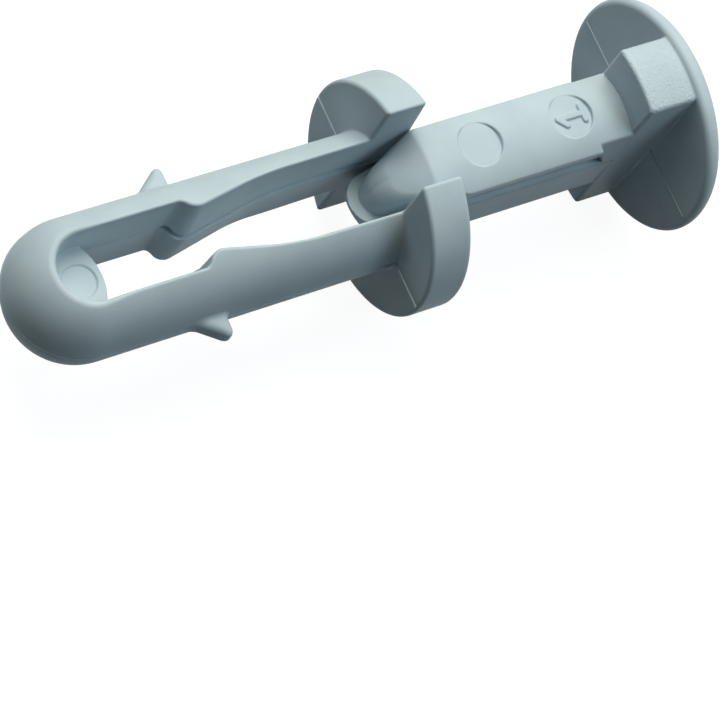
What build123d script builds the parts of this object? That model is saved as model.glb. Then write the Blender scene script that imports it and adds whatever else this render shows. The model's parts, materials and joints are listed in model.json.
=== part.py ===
from build123d import *
from math import atan2, degrees, sqrt
import os

# Plastic expansion rivet made of two mouldings: a split clip with a collar, and the drive pin
# that spreads it. The rivet lies along X, closed tip at -X and head at +X. The slot between the
# clip's legs runs through along Z, so the legs bend in the XY plane. X = 0 is the collar's seat
# on the panel and the X axis is the centre of the hole. All sizes are in millimetres.

# Hole, and what passes through it
hole_diameter = 6.5
hole_gap = 0.10             # radial, all round the shank
slot_width = 3.3            # between the legs
pin_gap = 0.05              # each side of the drive pin in the slot
stroke = 12.1               # travel of the drive pin

# Collar of the clip, split by the slot
collar_radius = 5.45
collar_thickness = 2.0
collar_edge = 0.25
collar_slot_relief = 0.04   # the slot is this much wider on each side through the collar

# Closed tip of the clip
tip_wall = 1.75             # beyond the end of the slot
web_length = 2.5            # from the end of the slot to the web's free edge
web_thickness = 1.88
web_edge_radius = 2.8
web_gap = 0.31              # from the web to the pin's nose, pin home
web_side_gap = 0.12         # from the web to each leg
mark_depth = 0.1
web_mark_radius = 0.75
web_mark_from_slot_end = 1.41

# Bend of each leg, held as a round end in a seat
bend_from_slot_end = 1.79
bend_gap = 0.05
tip_cutback = 0.5           # from the bend back to the tip's end face

# Ramps inside the legs, and barbs outside them
crest_from_seat = 8.72
crest_height = 0.81         # above the leg's inner face
crest_flat = 0.3            # level part of the crest, towards the collar
crest_fillet = 0.18
crest_back = 0.45           # length of the steep face
crest_run_in = 0.75         # swelling before the foot of the steep face
run_in_height = 0.12
ramp_root = 0.2             # how far the ramp reaches into the leg
ramp_length = 4.2
barb_from_seat = 8.64
barb_height = 0.85
barb_length = 1.6
barb_thickness = 1.04
barb_tip_radius = 0.2
barb_hollow = (0.45, 0.28)  # middle of the concave front, as parts of the length and the height
barb_start_depth = 0.02     # the front starts this far inside the leg's surface
barb_root = 0.3             # how far the barb reaches into the leg

# Drive pin
nose_reach = 0.94           # past the collar's seat before it is driven
nose_length = 2.815
nose_radius = 1.29
ledge = 0.28                # the upper half is this much narrower each side at the parting plane
upper_nose_setback = 0.56
upper_nose_radius = 0.88
nose_end_height = 1.63      # of the sloping top, where it meets the blunt front
block_seat_gap = 0.12       # from the block to the panel, pin home
block_radius = 5.3
block_side_gap = 0.07       # each side of the block in the collar's slot
step_length = 1.7           # recess of the upper half beside the block, on the -Y side
step_depth = 0.25
pin_mark_radius = 1.05
pin_mark_x = (4.66, 9.47)

# Head
head_radius = 5.55
head_thickness = 1.0
head_gap = 0.35             # from the head to the collar, pin home
head_rim_radius = 0.75
head_under_radius = 0.2

# Worked out from the sizes above
shank_radius = hole_diameter / 2 - hole_gap
slot_half = slot_width / 2
pin_half = slot_half - pin_gap
web_edge_x = -(nose_reach + stroke + web_gap)
slot_end_x = web_edge_x - web_length
tip_x = slot_end_x - tip_wall
ball_x = tip_x + shank_radius
bend_x = slot_end_x + bend_from_slot_end
bend_y = (shank_radius + slot_half) / 2
leg_end_radius = (shank_radius - slot_half) / 2
collar_slot_half = slot_half + collar_slot_relief
block_half = collar_slot_half - block_side_gap
block_x = stroke + block_seat_gap
head_x = collar_thickness + head_gap + stroke
tall = 4 * collar_radius    # longer than any cut has to be


def rod(radius, x_from, x_to):
    """A round bar on the X axis."""
    bar = Cylinder(radius, x_to - x_from, align=(Align.CENTER, Align.CENTER, Align.MIN))
    return Plane.YZ.offset(x_from) * bar


def slab(x_from, x_to, y_from, y_to, z_from=-tall, z_to=tall):
    """A rectangular block between six planes."""
    size = (x_to - x_from, y_to - y_from, z_to - z_from)
    return Pos(x_from, y_from, z_from) * Box(*size, align=(Align.MIN, Align.MIN, Align.MIN))


def post(x, y, radius, height=2 * tall):
    """A round bar along Z, centred on the XY plane."""
    return Pos(x, y, 0) * Cylinder(radius, height)


def plate(outline, height):
    """A flat outline in the XY plane, thickened equally up and down."""
    return extrude(make_face(outline), amount=height / 2, both=True)


def rounded_shank(x_to):
    """The clip's outside, from its ball end to x_to."""
    profile = CenterArc((ball_x, 0), shank_radius, 90, 90)
    profile += Polyline((tip_x, 0), (x_to, 0), (x_to, shank_radius), (ball_x, shank_radius))
    return revolve(make_face(profile), Axis.X)


def clip_tip():
    """Closed end of the clip, with the thin web across the end of the slot."""
    end_face_x = bend_x - tip_cutback
    solid = rounded_shank(bend_x) & slab(tip_x - 1, end_face_x, -tall, tall)
    slot_centre_x = slot_end_x + slot_half
    solid -= post(slot_centre_x, 0, slot_half)
    solid -= slab(slot_centre_x, bend_x, -slot_half, slot_half)
    web_half = slot_half - web_side_gap
    web = slab(slot_end_x - tip_wall / 2, web_edge_x, -web_half, web_half)
    web += slab(slot_end_x - tip_wall / 2, end_face_x, -slot_half, slot_half)
    web &= post(web_edge_x - web_edge_radius, 0, web_edge_radius) + slab(tip_x, end_face_x, -tall, tall)
    web &= slab(tip_x, 0, -tall, tall, -web_thickness / 2, web_thickness / 2)
    web -= Pos(0, 0, web_thickness / 2) * post(slot_end_x + web_mark_from_slot_end, 0, web_mark_radius, 2 * mark_depth)
    solid += web
    for side in (1, -1):
        solid -= post(bend_x, side * bend_y, leg_end_radius + bend_gap)
    return solid


def inner_ramp():
    """Ramp on the inside of the +Y leg: steep towards the tip, long towards the collar."""
    crest_y = slot_half - crest_height
    steep_x = -crest_from_seat - crest_back / 2
    foot = (steep_x - crest_back, slot_half)
    outline = Polyline(
        (foot[0] - crest_run_in, slot_half + ramp_root),
        (foot[0] - crest_run_in, slot_half),
        (foot[0], slot_half - run_in_height),
        (steep_x, crest_y),
        (-crest_from_seat + crest_flat, crest_y),
        (-crest_from_seat + ramp_length, slot_half),
        (-crest_from_seat + ramp_length, slot_half + ramp_root),
        close=True,
    )
    ramp = plate(outline, tall)
    crest_edges = ramp.edges().filter_by(Axis.Z).filter_by_position(Axis.Y, crest_y - 0.01, crest_y + 0.01)
    ramp = fillet(crest_edges, crest_fillet)
    return ramp & rod(shank_radius, tip_x, 0)


def outer_barb():
    """Thin barb on the outside of the +Y leg: concave ramp, steep back towards the collar."""
    root_y = shank_radius - barb_root
    tip_y = shank_radius + barb_height
    start = (-barb_from_seat - barb_length, shank_radius - barb_start_depth)
    middle = (-barb_from_seat - barb_hollow[0] * barb_length, shank_radius + barb_hollow[1] * barb_height)
    point = (-barb_from_seat - barb_tip_radius, tip_y)
    outline = Line((start[0], root_y), start)
    outline += ThreePointArc(start, middle, point)
    outline += Polyline(point, (-barb_from_seat, tip_y - barb_tip_radius), (-barb_from_seat, root_y), (start[0], root_y))
    return plate(outline, barb_thickness)


def collar_half():
    """Half of the collar, on the +Y side of the slot."""
    disc = rod(collar_radius, 0, collar_thickness) & slab(0, collar_thickness, collar_slot_half, tall)
    return fillet(disc.edges(), collar_edge)


def leg(side):
    """One leg of the clip, from its bend to its half of the collar."""
    solid = rounded_shank(collar_thickness / 2) & slab(tip_x, collar_thickness / 2, slot_half, tall)
    behind_bend = slab(tip_x - 1, bend_x, -tall, tall)
    solid -= behind_bend - post(bend_x, bend_y, leg_end_radius)
    solid += inner_ramp()
    solid += outer_barb()
    solid += collar_half()
    return solid if side > 0 else mirror(solid, about=Plane.XZ)


def shank_plan(centre_x, radius, half_width, x_to):
    """Outline of the pin's shank seen along Z: round nose, then sides that run straight."""
    width = 2 * half_width
    full_x = -nose_reach + nose_length
    sides = Pos((full_x + x_to) / 2, 0) * Rectangle(x_to - full_x, width)
    nose = Pos(centre_x, 0) * Circle(radius)
    return make_hull(nose.edges() + sides.edges())


def nose_slope(end_x):
    """Space under the sloping top of the nose, from the parting plane up."""
    full_x = -nose_reach + nose_length
    profile = Polyline(
        (end_x - 1, 0),
        (end_x - 1, nose_end_height),
        (end_x, nose_end_height),
        (full_x, shank_radius),
        (head_x, shank_radius),
        (head_x, 0),
        close=True,
    )
    return extrude(Plane.XZ * make_face(profile), amount=tall, both=True)


def drive_pin():
    """Drive pin: slotted-in shank in two mould halves, block that fills the collar, and head."""
    shank = rod(shank_radius, -nose_reach - 1, block_x + 0.5)
    lower = extrude(shank_plan(-nose_reach + nose_radius, nose_radius, pin_half, block_x + 0.5), amount=-tall)
    lower &= shank & mirror(nose_slope(-nose_reach), about=Plane.XY)
    upper_x = -nose_reach + upper_nose_setback
    flare = degrees(atan2(ledge, shank_radius))
    upper_plan = shank_plan(upper_x + upper_nose_radius, upper_nose_radius, pin_half - ledge, block_x + 0.5)
    upper = extrude(upper_plan, amount=shank_radius, taper=-flare)
    upper &= shank & nose_slope(upper_x)
    upper -= slab(block_x - step_length, block_x, -pin_half - 1, -pin_half + step_depth, 0, tall)
    block = rod(block_radius, block_x, head_x + head_thickness / 2)
    block &= slab(block_x, head_x + head_thickness / 2, -block_half, block_half)
    head = rod(head_radius, head_x, head_x + head_thickness)
    head = fillet(head.edges().group_by(Axis.X)[-1], head_rim_radius)
    head = fillet(head.edges().group_by(Axis.X)[0], head_under_radius)
    solid = lower + upper + block + head
    for x in pin_mark_x:
        solid -= Pos(0, 0, shank_radius) * post(x, 0, pin_mark_radius, 2 * mark_depth)
    return solid


nodes = {
    "clip_tip": clip_tip(),
    "left_leg": leg(1),
    "right_leg": leg(-1),
    "drive_pin": drive_pin(),
}

os.makedirs("parts", exist_ok=True)
for name, solid in nodes.items():
    export_step(solid, f"parts/{name}.step")
    box = solid.bounding_box()
    print(f"{name:10} {len(solid.solids())} solid, {solid.volume:7.2f} mm3, X {box.min.X:.2f} to {box.max.X:.2f}")
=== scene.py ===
import json
import math

import bmesh
import bpy
import numpy as np
from mathutils import Matrix, Vector


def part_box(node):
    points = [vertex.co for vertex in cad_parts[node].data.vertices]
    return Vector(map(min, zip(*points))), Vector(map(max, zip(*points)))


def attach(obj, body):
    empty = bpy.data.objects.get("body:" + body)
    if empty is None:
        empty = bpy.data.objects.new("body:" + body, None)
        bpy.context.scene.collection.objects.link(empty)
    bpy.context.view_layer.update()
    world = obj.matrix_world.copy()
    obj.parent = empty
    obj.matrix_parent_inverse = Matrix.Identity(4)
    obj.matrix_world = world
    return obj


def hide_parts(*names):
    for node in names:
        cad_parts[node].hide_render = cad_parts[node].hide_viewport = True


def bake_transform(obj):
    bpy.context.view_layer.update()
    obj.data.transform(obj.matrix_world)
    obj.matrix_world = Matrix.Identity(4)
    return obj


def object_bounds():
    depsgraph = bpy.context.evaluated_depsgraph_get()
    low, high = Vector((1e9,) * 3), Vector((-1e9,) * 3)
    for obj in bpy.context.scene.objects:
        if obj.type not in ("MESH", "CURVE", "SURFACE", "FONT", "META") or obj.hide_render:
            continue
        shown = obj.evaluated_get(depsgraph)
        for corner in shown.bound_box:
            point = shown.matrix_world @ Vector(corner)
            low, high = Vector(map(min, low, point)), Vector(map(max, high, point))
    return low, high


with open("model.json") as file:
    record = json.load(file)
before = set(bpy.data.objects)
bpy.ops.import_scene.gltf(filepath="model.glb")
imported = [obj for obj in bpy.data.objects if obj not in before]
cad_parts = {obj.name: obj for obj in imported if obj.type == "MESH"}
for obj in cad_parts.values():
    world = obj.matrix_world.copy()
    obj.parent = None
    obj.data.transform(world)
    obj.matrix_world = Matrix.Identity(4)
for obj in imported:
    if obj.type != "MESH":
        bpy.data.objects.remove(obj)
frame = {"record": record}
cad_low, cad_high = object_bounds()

# Looks of the expansion rivet: the split clip with its collar, and the drive pin that spreads it.
# The rivet lies along X with its closed tip at -X, and the slot runs through it along Z. Each
# moulding is written as one shape in space: a function of x, y and z that gives about the distance
# to the surface, negative inside. The shape is then skinned with an even mesh. Sizes are in
# millimetres until a mesh is made.

MM = 0.001


def corners(node):
    """Lowest and highest corner of a CAD node, in millimetres."""
    return [np.array(corner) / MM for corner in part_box(node)]


tip_low, _ = corners("clip_tip")
_, leg_high = corners("left_leg")
pin_low, pin_high = corners("drive_pin")

# Sizes that the frame gives
hole = next(mount for mount in frame["record"]["mounts"] if mount["name"] == "panel_hole")
shank_radius = hole["dims"]["r_mm"]
tip_x = tip_low[0]
collar_thickness = leg_high[0]
collar_radius = leg_high[1]
nose_x = pin_low[0]
head_top_x = pin_high[0]
head_radius = pin_high[2]

# Legs, closed end and collar
ball_x = tip_x + shank_radius
slot_half = 1.65
slot_draft = 0.013          # the slot widens this much for each millimetre away from the parting plane
slot_end_x = tip_x + 1.75
slot_spread = 0.04          # extra half width at the collar
slot_narrowing = 0.12       # less half width between the closed end and the ramps
narrow_to_x = (-8.5, -6.0)
leg_edge = 0.18
loop_edge = 0.4             # the edges are rounder around the closed end
loop_edge_x = (-15.2, -12.6)
collar_edge = 0.18
collar_fillet = 0.1
collar_crown = 0.08         # the collar grows thicker by this much for each millimetre inwards

# Web across the end of the slot, with a hollow edge and a round mark
web_half = 0.94
web_edge_x = slot_end_x + 2.5
web_edge_radius = 2.8
web_rounding = 0.08
web_side = 1.9              # the web runs this far out, into both legs
web_root_x = slot_end_x - 0.75
web_mark_x = slot_end_x + 1.41
web_mark_radius = 0.78
web_mark_depth = 0.1
web_mark_edge = 0.09

# Ramps inside the legs. In the lower mould half the walls are set back a little and the ramps
# stand out further, which leaves a step along the parting plane.
ramp_foot_x = -9.42
ramp_crest_x = -9.28
ramp_height = 1.0
ramp_end_x = -4.41
ramp_crest_radius = 0.7
ramp_foot_radius = 0.25
upper_draft = 0.07          # the upper ramp leans back this much for each millimetre up
lower_shift = 0.15
lower_growth = 0.11
lower_crest_radius = 0.8
lower_setback = 0.05
lower_draft = 0.086         # the lower ramp leans back this much for each millimetre down
tail_from = (-4.6, 0.13)    # the lower half stays proud of the upper one up to the collar
tail_to = (0.0, 0.10)
tail_draft = 0.04
tail_blend = 0.15

# Barbs outside the legs
barb_start_x = -10.2
barb_slope = 0.79
barb_back_x = -8.64
barb_half = 0.55
barb_tip_radius = 0.5
barb_side_radius = 0.36
barb_fillet = 0.2

# Where the two mould halves met
step_edge = 0.03            # rounding of the step between the halves
groove_edge = 0.02
slot_groove_z = 0.08        # groove along the step inside the slot, drawn coarser than it is
slot_groove_radius = 0.115
ridge_half = 0.115          # ridge on the tip side of the collar
ridge_height = 0.09
ridge_root = 1.0            # it starts this deep inside the collar
ridge_z = -0.2
ridge_y = (shank_radius - 0.5, collar_radius - 0.13)
seam_half = 0.08            # ridge around the outside of the clip
seam_height = 0.05
seam_fade_y = (0.2, 1.4)    # it fades out towards the middle of the closed end

# Pin's shank and nose
pin_half = 1.60
ledge = 0.28                # the upper mould half is narrower by this much on each side
lower_nose_radius = 1.29
lower_nose_slope = 1.03
upper_nose_radius = 0.94
upper_nose_slope = 0.69
upper_nose_x = nose_x + 0.56
upper_nose_lean = 0.137
nose_full_x = nose_x + 2.82
nose_edge = 0.6
nose_edge_x = (nose_x + 0.5, nose_full_x + 0.3)
nose_top_edge = 0.06
shank_edge = 0.07
shank_flare = 0.143
wide_flare = 0.258          # on the -Y side, behind the collar
flare_x = (2.55, 3.6)
groove_z = -0.15            # groove just under the ledge, drawn coarser than it is
groove_radius = 0.085

# Pin's shoulder, block and head
block_half = 1.65
block_x = 12.3
block_lean = 0.045
block_radius = 5.3
block_edge = 0.17
block_fillet = 0.08
shoulder_x = 11.77
shoulder_lean = 0.496
shoulder_inset = 0.01       # keeps the shoulder's sides just inside the block's
shoulder_edge = 0.1
shoulder_step = 0.04
shank_overlap = 0.5         # the shank runs this far into the block
block_overlap = 0.4         # and the block this far into the head
head_under_x = head_top_x - 0.94
head_rim_radius = 0.68
head_under_radius = 0.28
underside_ridge_radius = 0.055
underside_ridge_y = (1.4, 5.25)
sparked_x = (block_x - 0.3, head_under_x - 0.1)     # the block's round sides are spark-eroded
sparked_radius = block_radius - 0.5

# Round marks on the pin, and the figure 1 in the second
mark_x = (4.66, 9.47)
mark_radius = 1.05
mark_floor_z = 2.95
mark_edge = 0.08
floor_edge = 0.05
stroke_radius = 0.15
stroke_height = 0.12
stroke_edge = 0.08
stem_half = 0.66
foot_half = 0.34
flag_end = (-0.34, -0.36)


# ---------------------------------------------------------------- shapes in space

def meet(one, other, radius=0.0):
    """Inside both shapes, with the edge between them rounded."""
    corner = np.hypot(np.maximum(one + radius, 0), np.maximum(other + radius, 0))
    return np.minimum(-radius, np.maximum(one, other)) + corner


def cut(whole, tool, radius=0.0):
    """The first shape without the second, with the edge between them rounded."""
    return meet(whole, -tool, radius)


def join(one, other, radius=0.0):
    """Both shapes, with a fillet between them."""
    return -meet(-one, -other, radius)


def either_side(before, after, plane, edge=0.0):
    """The first shape where plane is negative and the second where it is positive."""
    parts = np.minimum(meet(before, plane, edge), meet(after, -plane, edge))
    return np.minimum(np.maximum(before, after), parts)


def between(value, low, high):
    """Distance outside the stretch from low to high."""
    return np.abs(value - (low + high) / 2) - (high - low) / 2


def eased(value, low, high):
    """0 below low, 1 above high, and a smooth rise between."""
    share = np.clip((value - low) / (high - low), 0, 1)
    return share * share * (3 - 2 * share)


def slope_plane(x, height, start, end):
    """Distance above the line from start to end, points of x and height."""
    run, rise = end[0] - start[0], end[1] - start[1]
    return ((height - start[1]) * run - (x - start[0]) * rise) / math.hypot(run, rise)


# ---------------------------------------------------------------- the clip's shape

def ramp_front(x, height):
    """The ramp's steep side, towards the tip."""
    return slope_plane(x, height, (ramp_foot_x, 0), (ramp_crest_x, ramp_height))


def ramp(x, height, shift, growth, crest_radius):
    """Ramp on a leg's inner face: steep towards the tip, long towards the collar."""
    slope = slope_plane(x, height - growth, (ramp_crest_x, ramp_height), (ramp_end_x, 0))
    return meet(ramp_front(x + shift, height), slope, crest_radius)


def tail(x, height):
    """Long low wedge from the lower ramp to the collar."""
    return np.maximum(ramp_front(x + lower_shift, height), slope_plane(x, height, tail_from, tail_to))


def slot_space(x, y, z, extra):
    """The slot between the legs, with its round end and some extra half width."""
    half = slot_half + slot_draft * np.abs(z) + slot_spread * eased(x, ramp_end_x, 0) + extra
    return np.hypot(np.minimum(x - slot_end_x - slot_half, 0), y) - half


def narrowing(x):
    """How much closer each wall stands from the closed end to the ramps."""
    return slot_narrowing * (1 - eased(x, *narrow_to_x))


def upper_slot(x, y, z):
    """The slot in the upper mould half, with the ramps on its walls."""
    height = upper_draft * np.abs(z) - slot_space(x, y, z, 0)
    walls = slot_space(x, y, z, -narrowing(x))
    return cut(walls, ramp(x, height, 0, 0, ramp_crest_radius), ramp_foot_radius)


def lower_slot(x, y, z):
    """The slot in the lower mould half, whose ramps end in a long tail."""
    inside = slot_space(x, y, z, lower_setback)
    front = ramp(x, lower_draft * np.abs(z) - inside, lower_shift, lower_growth, lower_crest_radius)
    whole_ramp = join(front, tail(x, tail_draft * np.abs(z) - inside), tail_blend)
    walls = slot_space(x, y, z, lower_setback - narrowing(x))
    return cut(walls, whole_ramp, ramp_foot_radius)


def barb(x, y, z):
    """Thin barb outside a leg: sloped towards the tip, upright towards the collar."""
    front = slope_plane(x, y - shank_radius, (barb_start_x, 0), (barb_start_x + 1, barb_slope))
    outline = meet(front, x - barb_back_x, barb_tip_radius)
    return meet(outline, np.abs(z) - barb_half, barb_side_radius)


def collar(x, y, z):
    """The collar's disc, before the slot is cut."""
    out = np.hypot(y, z) - collar_radius
    crowned = x - collar_thickness + collar_crown * (out + collar_edge)
    return meet(out, np.maximum(crowned, -x), collar_edge)


def outside(x, y, z):
    """The clip before its slot is cut: the round shank with its ball end, the collar and a barb."""
    seam = np.maximum(0, 1 - (z / seam_half) ** 2) * eased(y, *seam_fade_y)
    shank = np.sqrt(np.minimum(x - ball_x, 0) ** 2 + y ** 2 + z ** 2) - shank_radius - seam_height * seam
    whole = join(meet(shank, x - collar_thickness / 2), collar(x, y, z), collar_fillet)
    return join(whole, barb(x, y, z), barb_fillet)


def web(x, y, z):
    """Web across the end of the slot, halfway up the legs, with a hollow edge."""
    hollow = np.hypot(x - web_edge_x + web_edge_radius, y) - web_edge_radius
    plate = meet(hollow, np.abs(z) - web_half, web_rounding)
    return meet(plate, np.maximum(y - web_side, web_root_x - x))


def face_ridge(x, y, z):
    """Parting ridge across the tip side of the collar."""
    bar = np.maximum(between(x, -ridge_height, ridge_root), np.abs(z - ridge_z) - ridge_half)
    return np.maximum(bar, between(y, *ridge_y))


def clip(x, y, z):
    """The whole clip. It is the same on both sides of its middle plane."""
    y = np.abs(y)
    blank = outside(x, y, z)
    upper_space = upper_slot(x, y, z)
    edge = loop_edge + (leg_edge - loop_edge) * eased(x, *loop_edge_x)
    groove = np.hypot(upper_space / 2, z - slot_groove_z) - slot_groove_radius
    upper = cut(cut(blank, upper_space, edge), groove, groove_edge)
    lower = cut(blank, lower_slot(x, y, z), edge)
    whole = join(either_side(lower, upper, z, step_edge), web(x, y, z), web_rounding)
    mark = meet(np.hypot(x - web_mark_x, y) - web_mark_radius, web_half - web_mark_depth - z, floor_edge)
    return np.minimum(cut(whole, mark, web_mark_edge), face_ridge(x, y, z))


# ---------------------------------------------------------------- the pin's shape

def nose_plan(x, side, nose_radius, front_x, half):
    """Outline of the pin seen along Z: a round nose that widens to the straight sides."""
    centre = front_x + nose_radius
    length = nose_full_x - centre
    lean = (nose_radius - half) / length
    level = math.sqrt(1 - lean ** 2)
    along = (x - centre) * level - side * lean
    cap = np.hypot(x - centre, side) - nose_radius
    flank = side * level + (x - centre) * lean - nose_radius
    return np.maximum(np.where(along < 0, cap, flank), side - half)


def lower_shank(x, side, z, bar):
    """The shank's lower mould half: full width, with a groove under the ledge and a sloped chin."""
    chin = (-z - shank_radius + lower_nose_slope * (nose_full_x - x)) / math.hypot(1, lower_nose_slope)
    plan = nose_plan(x, side, lower_nose_radius, nose_x, pin_half)
    groove = np.hypot((side - pin_half) / 2, z - groove_z) - groove_radius
    return cut(meet(plan, np.maximum(bar, chin), shank_edge), groove, groove_edge)


def upper_shank(x, y, z, bar):
    """The shank's upper mould half: narrower at the ledge, flared upwards, with a cone for a nose."""
    flare = shank_flare + (wide_flare - shank_flare) * eased(x, *flare_x) * (y < 0)
    side = np.abs(y) - flare * z
    plan = nose_plan(x - upper_nose_lean * z, side, upper_nose_radius, upper_nose_x, pin_half - ledge)
    cone = (bar + upper_nose_slope * (nose_full_x - x)) / math.hypot(1, upper_nose_slope)
    edge = nose_edge + (shank_edge - nose_edge) * eased(x, *nose_edge_x)
    return meet(plan, meet(bar, cone, nose_top_edge), edge)


def shank_shape(x, y, z):
    """The pin's shank with the shoulder that ends the ledge in front of the block."""
    side = np.abs(y)
    bar = np.hypot(y, z) - shank_radius
    shoulder = meet(side - block_half + shoulder_inset, bar, shoulder_edge)
    plane = (x + shoulder_lean * z - shoulder_x) / math.hypot(1, shoulder_lean)
    upper = either_side(upper_shank(x, y, z, bar), shoulder, plane, shoulder_step)
    return either_side(lower_shank(x, side, z, bar), upper, z, step_edge)


def stroke(x, y, start, end):
    """Distance from the line between two points."""
    run, rise = end[0] - start[0], end[1] - start[1]
    share = np.clip(((x - start[0]) * run + (y - start[1]) * rise) / (run ** 2 + rise ** 2), 0, 1)
    return np.hypot(x - start[0] - share * run, y - start[1] - share * rise)


def numeral(x, y):
    """A plain figure 1 with its head towards the tip, drawn in round strokes."""
    stem = stroke(x, y, (-stem_half, 0.0), (stem_half, 0.0))
    foot = stroke(x, y, (stem_half, foot_half), (stem_half, -foot_half))
    flag = stroke(x, y, (-stem_half, 0.0), flag_end)
    return np.minimum(stem, np.minimum(foot, flag)) - stroke_radius


def round_mark(x, y, z, numbered):
    """Space of a shallow round recess. The numbered one keeps a raised figure on its floor."""
    pocket = meet(np.hypot(x, y) - mark_radius, mark_floor_z - z, floor_edge)
    if not numbered:
        return pocket
    raised = meet(numeral(x, y), z - mark_floor_z - stroke_height, stroke_edge)
    return cut(pocket, raised, floor_edge)


def block(x, y, z):
    """Block that fills the slot of the collar once the pin is home."""
    sides = meet(np.hypot(y, z) - block_radius, np.abs(y) - block_half, block_edge)
    front = (block_x - block_lean * z - x) / math.hypot(1, block_lean)
    return np.maximum(meet(sides, front, block_edge), x - head_under_x - block_overlap)


def head(x, y, z):
    """Round flat head with a full outer rim."""
    disc = meet(np.hypot(y, z) - head_radius, x - head_top_x, head_rim_radius)
    return meet(disc, head_under_x - x, head_under_radius)


def pin(x, y, z):
    """The whole drive pin."""
    shank = meet(shank_shape(x, y, z), x - block_x - shank_overlap)
    whole = np.minimum(shank, join(block(x, y, z), head(x, y, z), block_fillet))
    for centre in mark_x:
        whole = cut(whole, round_mark(x - centre, y, z, centre == mark_x[1]), mark_edge)
    ridge = np.hypot(x - head_under_x, z - ridge_z) - underside_ridge_radius
    return np.minimum(whole, np.maximum(ridge, between(np.abs(y), *underside_ridge_y)))


# ---------------------------------------------------------------- skin of a shape

cell = 0.08
probe = cell / 12           # step for measuring how a shape's distance grows
off_centre = 0.37           # shifts the grid, so that no grid plane lies on a plane of symmetry
settling_rounds = 3
least_strength = 0.25       # keeps a point from leaping where the distance hardly grows
tiny = 1e-9                 # keeps a division away from zero
on_plane = 0.0001           # a point this near the middle plane counts as on it


def grid_line(low, high, fine=(), size=cell):
    """Grid planes from low to high, one cell apart. A fine stretch is its start, its end and the
    number of steps that share a cell there."""
    line = [(math.floor(low / size) - off_centre) * size]
    while line[-1] < high:
        steps = [size / parts for start, end, parts in fine if start < line[-1] < end]
        line.append(line[-1] + min(steps + [size]))
    return np.array(line)


def crossings(value):
    """Where the surface crosses the edges of the grid: the four cells around each such edge, in
    turning order, and the crossing's place counted in cells."""
    inside = value < 0
    steps = np.eye(3, dtype=int)
    strides = np.array([value.shape[1] * value.shape[2], value.shape[2], 1])
    rings, hits = [], []
    for axis in range(3):
        planes = inside.shape[axis]
        first = np.take(inside, range(planes - 1), axis)
        crossed = np.argwhere(first != np.take(inside, range(1, planes), axis))
        start, end = value[tuple(crossed.T)], value[tuple((crossed + steps[axis]).T)]
        hits.append(crossed + steps[axis] * (start / (start - end))[:, None])
        one, two = steps[(axis + 1) % 3], steps[(axis + 2) % 3]
        ring = np.stack([crossed, crossed - one, crossed - one - two, crossed - two], 1) @ strides
        turned = start > 0
        ring[turned] = ring[turned][:, ::-1]
        rings.append(ring)
    return np.concatenate(rings), np.concatenate(hits)


def skin(shape, lines):
    """Mesh of a shape's surface: one point in each cell that it crosses, moved onto the surface."""
    value = shape(*np.meshgrid(*[line.astype(np.float32) for line in lines], indexing="ij", sparse=True))
    rings, hits = crossings(value)
    _, faces = np.unique(rings, return_inverse=True)
    faces = faces.reshape(-1)
    hits = np.repeat(hits, 4, 0)
    count = np.bincount(faces)
    place = [np.bincount(faces, hits[:, axis]) / count for axis in range(3)]
    points = np.stack([np.interp(at, np.arange(len(line)), line) for at, line in zip(place, lines)], 1)
    reach = np.min([np.diff(line)[at.astype(int)] for at, line in zip(place, lines)], 0)
    for _ in range(settling_rounds):
        points = settle(shape, points, reach)
    return points, faces.reshape(-1, 4)


def gradient(shape, points):
    """Direction in which the shape's distance grows, at each point."""
    ways = []
    for axis in range(3):
        ahead, behind = points.copy(), points.copy()
        ahead[:, axis] += probe
        behind[:, axis] -= probe
        ways.append((shape(*ahead.T) - shape(*behind.T)) / (2 * probe))
    return np.stack(ways, 1)


def settle(shape, points, reach):
    """Moves each point most of the way to the surface, by half its cell at most."""
    way = gradient(shape, points)
    strength = np.maximum((way ** 2).sum(1), least_strength)
    move = way * (-shape(*points.T) / strength)[:, None]
    length = np.maximum(np.linalg.norm(move, axis=1), tiny)
    return points + move * np.minimum(1, reach / 2 / length)[:, None]


def skinned_piece(name, points, faces, material):
    """A Blender object with that mesh, in metres, shaded smooth."""
    mesh = bpy.data.meshes.new(name)
    mesh.from_pydata((points * MM).tolist(), [], faces.tolist())
    mesh.polygons.foreach_set("use_smooth", [True] * len(mesh.polygons))
    mesh.materials.append(material)
    mesh.update()
    piece = bpy.data.objects.new(name, mesh)
    bpy.context.scene.collection.objects.link(piece)
    return piece


def halve(piece):
    """Keeps the piece's half at +Y and closes it with a flat face on the middle plane."""
    mesh = bmesh.new()
    mesh.from_mesh(piece.data)
    geometry = mesh.verts[:] + mesh.edges[:] + mesh.faces[:]
    bmesh.ops.bisect_plane(
        mesh, geom=geometry, dist=on_plane * MM, plane_co=(0, 0, 0), plane_no=(0, 1, 0), clear_inner=True,
    )
    rim = [edge for edge in mesh.edges if edge.is_boundary]
    bmesh.ops.holes_fill(mesh, edges=rim, sides=0)
    mesh.to_mesh(piece.data)
    mesh.free()
    piece.data.update()


def mirrored(piece, name):
    """Copy of the piece on the other side of the middle plane."""
    other = piece.copy()
    other.data = piece.data.copy()
    other.name = other.data.name = name
    other.data.transform(Matrix.Scale(-1, 4, (0, 1, 0)))
    other.data.flip_normals()
    bpy.context.scene.collection.objects.link(other)
    return other


def true_normals(piece, shape):
    """Shades the piece by the shape itself, so that the halves meet with no visible seam."""
    points = np.empty(len(piece.data.vertices) * 3)
    piece.data.vertices.foreach_get("co", points)
    way = gradient(shape, points.reshape(-1, 3) / MM)
    way /= np.maximum(np.linalg.norm(way, axis=1), tiny)[:, None]
    piece.data.normals_split_custom_set_from_vertices(way.tolist())


# ---------------------------------------------------------------- materials

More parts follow.
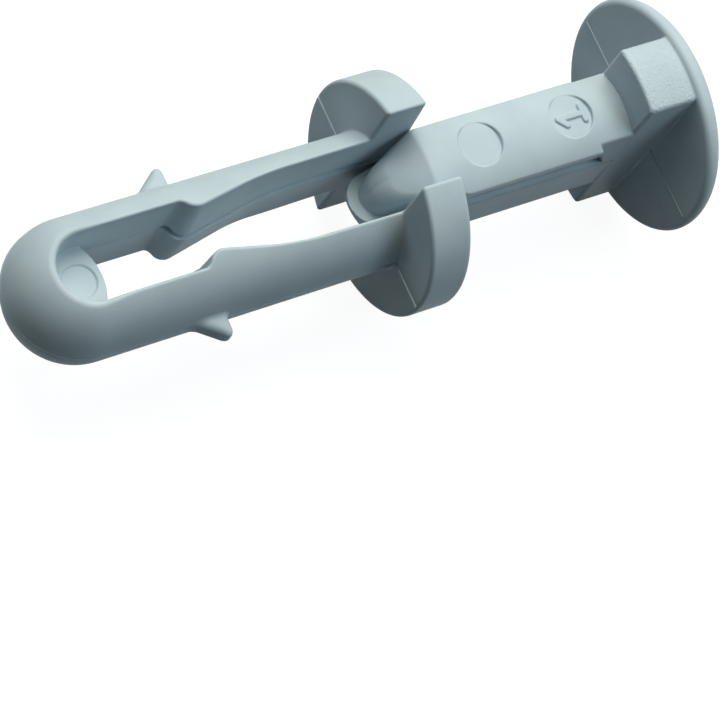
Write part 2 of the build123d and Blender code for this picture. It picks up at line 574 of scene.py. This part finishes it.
def linear(colour):
    """Linear colour from an sRGB hex value."""
    parts = [int(colour[start:start + 2], 16) / 255 for start in (1, 3, 5)]
    return [part / 12.92 if part <= 0.04045 else ((part + 0.055) / 1.055) ** 2.4 for part in parts] + [1.0]


def add_node(tree, kind, settings=None, links=None):
    """Adds a node. Settings are its inputs or properties by name, links its inputs by name."""
    node = tree.nodes.new(kind)
    for key, value in (settings or {}).items():
        if isinstance(key, int) or key in node.inputs:
            node.inputs[key].default_value = value
        else:
            setattr(node, key, value)
    for key, source in (links or {}).items():
        tree.links.new(source, node.inputs[key])
    return node


def empty_material(name):
    """A material whose node tree is empty."""
    material = bpy.data.materials.new(name)
    material.use_nodes = True
    material.node_tree.nodes.clear()
    return material


# Sizes in the surface of the moulded polyamide
cloud_size = 2.5
grain_size = 0.12           # the blasted grain is about 0.03 across, drawn coarser so that it shows
grain_depth = 0.02
pebble_size = 0.12          # pebbles of the spark-eroded mould, which catch the light as speckles
pebble_depth = 0.04


def sparked_pebbles(tree, place):
    """Height of the pebbled grain on the block's round sides. It is 0 everywhere else."""
    pebble_settings = {"Scale": 1 / (pebble_size * MM), "Detail": 1.0}
    height = add_node(tree, "ShaderNodeTexNoise", pebble_settings, {"Vector": place}).outputs["Fac"]
    along = add_node(tree, "ShaderNodeSeparateXYZ", {}, {"Vector": place}).outputs["X"]
    across = add_node(tree, "ShaderNodeVectorMath", {"operation": "MULTIPLY", 1: (0, 1, 1)}, {0: place})
    radius = add_node(tree, "ShaderNodeVectorMath", {"operation": "LENGTH"}, {0: across.outputs["Vector"]})
    for source, operation, limit in (
        (along, "GREATER_THAN", sparked_x[0]),
        (along, "LESS_THAN", sparked_x[1]),
        (radius.outputs["Value"], "GREATER_THAN", sparked_radius),
    ):
        test = add_node(tree, "ShaderNodeMath", {"operation": operation, 1: limit * MM}, {0: source})
        masked = add_node(tree, "ShaderNodeMath", {"operation": "MULTIPLY"}, {0: height, 1: test.outputs[0]})
        height = masked.outputs[0]
    return height


def moulded_polyamide(name, sparked_block=False):
    """Polyamide from a finely blasted mould: matt, pale blue-grey, with a soft broad shine and a
    faint grain. A sparked block has the coarser pebbled grain of a spark-eroded mould."""
    material = empty_material(name)
    tree = material.node_tree
    place = add_node(tree, "ShaderNodeTexCoord").outputs["Object"]
    # Broad faint clouds keep the large faces from looking painted.
    cloud_settings = {"Scale": 1 / (cloud_size * MM), "Detail": 3.0}
    cloud = add_node(tree, "ShaderNodeTexNoise", cloud_settings, {"Vector": place})
    tone = add_node(tree, "ShaderNodeValToRGB", {}, {"Fac": cloud.outputs["Fac"]})
    for element, position, colour in zip(tone.color_ramp.elements, (0.35, 0.65), ("#AFBFC8", "#B6C6CE")):
        element.position = position
        element.color = linear(colour)
    grain_settings = {"Scale": 1 / (grain_size * MM), "Detail": 2.0}
    grain = add_node(tree, "ShaderNodeTexNoise", grain_settings, {"Vector": place})
    grain_relief = {"Strength": 0.14, "Distance": grain_depth * MM}
    bump = add_node(tree, "ShaderNodeBump", grain_relief, {"Height": grain.outputs["Fac"]})
    if sparked_block:
        pebble_relief = {"Strength": 1.0, "Distance": pebble_depth * MM}
        bump_links = {"Height": sparked_pebbles(tree, place), "Normal": bump.outputs["Normal"]}
        bump = add_node(tree, "ShaderNodeBump", pebble_relief, bump_links)
    shader = add_node(
        tree, "ShaderNodeBsdfPrincipled",
        {"Roughness": 0.6, "IOR": 1.53, "Specular IOR Level": 0.25},
        {"Base Color": tone.outputs["Color"], "Normal": bump.outputs["Normal"]},
    )
    add_node(tree, "ShaderNodeOutputMaterial", {}, {"Surface": shader.outputs["BSDF"]})
    return material


def seen_directly(tree):
    """1 for rays from the camera and for reflected and refracted ones, else 0."""
    rays = add_node(tree, "ShaderNodeLightPath").outputs
    seen = rays["Is Camera Ray"]
    for name in ("Is Glossy Ray", "Is Transmission Ray"):
        either = add_node(tree, "ShaderNodeMath", {"operation": "MAXIMUM"}, {0: seen, 1: rays[name]})
        seen = either.outputs[0]
    return seen


def matt_card():
    """Matt card: it glows white to the camera, keeps the rivet's faint shadow and sends little
    light back up."""
    material = empty_material("matt_card")
    tree = material.node_tree
    seen = seen_directly(tree)
    card = add_node(tree, "ShaderNodeBsdfDiffuse", {"Color": linear("#646C70")})
    glow = add_node(tree, "ShaderNodeEmission", {"Color": linear("#F8F8F8")}, {"Strength": seen})
    both = add_node(tree, "ShaderNodeAddShader", {}, {0: card.outputs["BSDF"], 1: glow.outputs["Emission"]})
    add_node(tree, "ShaderNodeOutputMaterial", {}, {"Surface": both.outputs["Shader"]})
    return material


# ---------------------------------------------------------------- pieces

pin_cell = 1.3 * cell       # coarser than the clip's, since the marks take many fine cells
mark_margin = 0.1           # the fine stretches reach this far past the marks
mark_steps = 2.5            # and have this many steps to a cell

# Stretches with a finer grid: start, end and steps to a cell
fine_barb_and_crest = (-9.7, -8.2, 1.5)
fine_collar_face = (-0.3, 0.1, 2)
fine_parting_plane = (-0.4, 0.2, 2)
fine_mark_floor = (2.9, 3.17, mark_steps)


def build_clip():
    """The clip is one moulding, built as two halves that meet at the middle of its closed tip."""
    margin = 2 * cell
    crown_x = collar_thickness + collar_crown * collar_radius
    lines = [
        grid_line(tip_x - margin, crown_x + margin, [fine_barb_and_crest, fine_collar_face]),
        grid_line(-margin, collar_radius + margin),
        grid_line(-collar_radius - margin, collar_radius + margin, [fine_parting_plane]),
    ]
    points, faces = skin(clip, lines)
    material = moulded_polyamide("moulded_polyamide_clip")
    left = skinned_piece("left_half", points, faces, material)
    halve(left)
    right = mirrored(left, "right_half")
    for piece, body, sign in ((left, "left_leg", 1), (right, "right_leg", -1)):
        true_normals(piece, clip)
        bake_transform(piece)
        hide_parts(body, "clip_tip")


def build_pin():
    """The drive pin is one moulding."""
    margin = 2 * pin_cell
    reach = head_radius + margin
    mark_half = mark_radius + mark_margin
    fine_marks = [(centre - mark_half, centre + mark_half, mark_steps) for centre in mark_x]
    lines = [
        grid_line(nose_x - margin, head_top_x + margin, fine_marks, pin_cell),
        grid_line(-reach, reach, [(-mark_half, mark_half, mark_steps)], pin_cell),
        grid_line(-reach, reach, [fine_parting_plane, fine_mark_floor], pin_cell),
    ]
    points, faces = skin(pin, lines)
    material = moulded_polyamide("moulded_polyamide_pin", sparked_block=True)
    piece = skinned_piece("drive_pin_moulding", points, faces, material)
    true_normals(piece, pin)
    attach(piece, "pin")
    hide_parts("drive_pin")


build_clip()
build_pin()


# ---------------------------------------------------------------- studio

lamp_distance = 300
floor_half = 1500

# Name, azimuth and elevation in degrees, size, power in watts and colour of each lamp
lamps = (
    ("key", 75, 60, 240, 1.02, "#FFFBEE"),
    ("back", 120, 30, 140, 0.13, "#E0F4FF"),
    ("side", 316, 57, 140, 0.26, "#E0F4FF"),
    ("end", 0, 38, 140, 0.11, "#FFFAF0"),
)

# Camera: azimuth, elevation and roll in degrees, the point it looks at and its distance from there
camera_angles = (-62.5, 61.5, 40.8)
camera_target = (-2.34, -6.15, -2.68)
camera_distance = 130.1
camera_lens = 146.9
camera_sensor = 36
camera_clip = (10, 10000)


def build_lamp(name, azimuth, elevation, size, power, colour):
    """Soft square lamp that faces the rivet. Azimuth runs from +X towards +Y, in degrees."""
    data = bpy.data.lights.new(name, "AREA")
    data.shape = "SQUARE"
    data.color = linear(colour)[:3]
    data.size = size * MM
    data.energy = power
    lamp_object = bpy.data.objects.new(name, data)
    azimuth, elevation = math.radians(azimuth), math.radians(elevation)
    level = math.cos(elevation)
    way = Vector((math.cos(azimuth) * level, math.sin(azimuth) * level, math.sin(elevation)))
    lamp_object.location = way * lamp_distance * MM
    lamp_object.rotation_euler = way.to_track_quat("Z", "Y").to_euler()
    bpy.context.scene.collection.objects.link(lamp_object)


def build_world():
    """White to the camera and in reflections, and dark to the rivet, which the lamps light."""
    world = bpy.data.worlds.new("studio")
    world.use_nodes = True
    tree = world.node_tree
    tree.nodes.clear()
    white = {"Color": (1, 1, 1, 1)}
    background = add_node(tree, "ShaderNodeBackground", white, {"Strength": seen_directly(tree)})
    add_node(tree, "ShaderNodeOutputWorld", {}, {"Surface": background.outputs["Background"]})
    bpy.context.scene.world = world


def build_floor():
    """Pale card that the rivet lies on."""
    mesh = bpy.data.meshes.new("floor")
    half = floor_half * MM
    rim = [(-half, -half, 0), (half, -half, 0), (half, half, 0), (-half, half, 0)]
    mesh.from_pydata(rim, [], [(0, 1, 2, 3)])
    mesh.materials.append(matt_card())
    floor = bpy.data.objects.new("floor", mesh)
    floor.location.z = cad_low.z
    bpy.context.scene.collection.objects.link(floor)


def build_camera():
    """Long lens, high on the side of the tip, rolled so that the rivet rises to the right."""
    azimuth, elevation, roll = [math.radians(angle) for angle in camera_angles]
    out = math.cos(elevation)
    back = Vector((math.sin(azimuth) * out, -math.cos(azimuth) * out, math.sin(elevation)))
    level = Vector((math.cos(azimuth), math.sin(azimuth), 0))
    upright = back.cross(level)
    right = level * math.cos(roll) + upright * math.sin(roll)
    up = back.cross(right)
    data = bpy.data.cameras.new("camera")
    data.sensor_width = camera_sensor
    data.lens = camera_lens
    data.clip_start, data.clip_end = [distance * MM for distance in camera_clip]
    camera = bpy.data.objects.new("camera", data)
    target = Vector(camera_target) * MM
    axes = Matrix((right, up, back)).transposed()
    camera.matrix_world = Matrix.Translation(target + back * camera_distance * MM) @ axes.to_4x4()
    bpy.context.scene.collection.objects.link(camera)
    bpy.context.scene.camera = camera


bpy.context.scene.view_settings.view_transform = "Standard"
build_world()
build_floor()
for lamp in lamps:
    build_lamp(*lamp)
build_camera()
